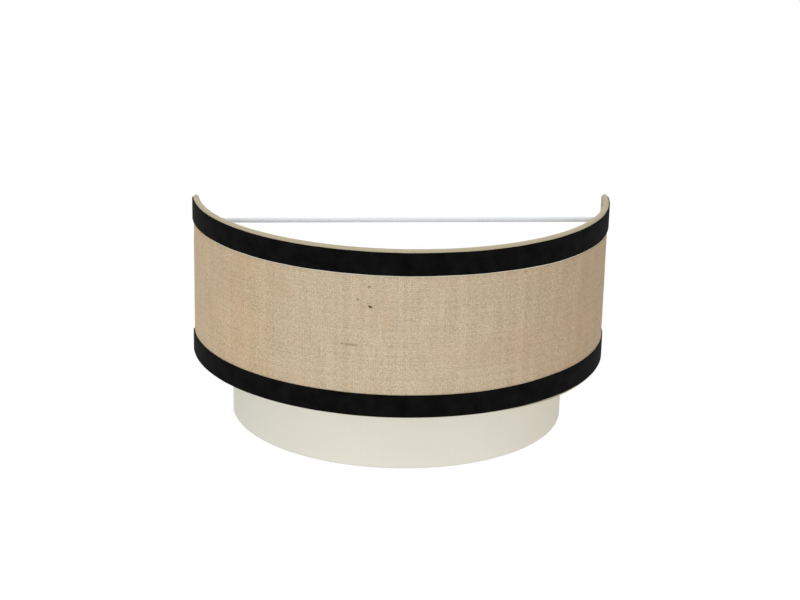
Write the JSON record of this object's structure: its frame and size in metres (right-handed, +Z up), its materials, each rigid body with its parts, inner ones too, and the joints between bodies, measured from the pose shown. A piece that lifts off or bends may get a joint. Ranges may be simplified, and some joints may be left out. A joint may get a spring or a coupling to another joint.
{
  "type": "fabric shade wall light",
  "caption": "Wall light with a half-round natural cloth shade edged in black velvet ribbon, and a cream cloth half-shade hanging lower inside it, over a downward bulb.",
  "frame": {"origin": "on the wall, at the middle of the back of the fixing strap, 84 mm below the outer shade's top", "axes": "+Z up, +Y into the wall, +X to the right as seen from the room"},
  "size_m": [0.3816, 0.1832, 0.21],
  "materials": {
    "jute_cloth": "plain weave, natural jute look, matt",
    "cream_cloth": "fine smooth cotton, matt",
    "black_velvet": "short pile velvet ribbon",
    "beige_binding": "fine cotton binding",
    "lining_sheet": "smooth white lining sheet",
    "white_coated_wire": "white powder coat on steel wire",
    "white_coated_steel": "white powder coat on steel sheet",
    "zinc_steel": "bright zinc plate",
    "white_holder_plastic": "moulded thermoplastic",
    "cream_ceramic": "fired, unglazed",
    "nickel_brass": "nickel-plated brass",
    "brass_strip": "bare brass",
    "white_cable": "smooth sheath",
    "brown_insulation": "smooth insulation",
    "blue_insulation": "smooth insulation",
    "earth_insulation": "smooth insulation, green with yellow",
    "opal_glass": "opal white, satin",
    "solder": "solder"
  },
  "bodies": {
    "wall_unit": {"wall_strap": "zinc_steel", "canopy": "white_coated_steel", "hook_plates": "white_coated_steel", "canopy_screws": "zinc_steel", "lamp_arm": "white_coated_steel", "hollow_nipple": "zinc_steel", "nipple_nuts": "zinc_steel", "lamp_cable": "white_cable", "holder_cap": "white_holder_plastic", "holder_skirt": "white_holder_plastic", "holder_core": "cream_ceramic", "screw_shell": "nickel_brass", "centre_contact": "brass_strip", "terminal_block": "white_holder_plastic", "terminal_screws": "brass_strip", "earth_screw": "brass_strip", "brown_lead": "brown_insulation", "blue_lead": "blue_insulation", "earth_lead": "earth_insulation"},
    "shade": {"outer_cloth": "jute_cloth", "inner_cloth": "cream_cloth", "upper_ribbon": "black_velvet", "lower_ribbon": "black_velvet", "upper_binding": "beige_binding", "lower_binding": "beige_binding", "outer_liner": "lining_sheet", "inner_liner": "lining_sheet", "outer_top_ring": "white_coated_wire", "outer_bottom_ring": "white_coated_wire", "inner_top_ring": "white_coated_wire", "inner_bottom_ring": "white_coated_wire", "outer_uprights": "white_coated_wire", "inner_uprights": "white_coated_wire", "upper_spreader_rod": "white_coated_wire", "upper_link_rods": "white_coated_wire", "lower_link_rods": "white_coated_wire", "hanger_crossbar": "white_coated_wire"},
    "bulb": {"bulb_globe": "opal_glass", "bulb_cap": "nickel_brass", "bulb_tip": "solder"},
    "holder_ring": {"holder_ring": "white_holder_plastic"}
  },
  "joints": [
    {"name": "shade_lift", "type": "slide", "parent": "wall_unit", "child": "shade", "axis": [0, 0, 1], "range_m": [0, 0.01]},
    {"name": "bulb_turn", "type": "hinge", "parent": "wall_unit", "child": "bulb", "pos_m": [0, -0.078, -0.06], "axis": [0, 0, -1], "range_deg": [0, 1800]},
    {"name": "holder_ring_turn", "type": "hinge", "parent": "wall_unit", "child": "holder_ring", "pos_m": [0, -0.078, -0.0235], "axis": [0, 0, -1], "range_deg": [0, 1080]}
  ]
}
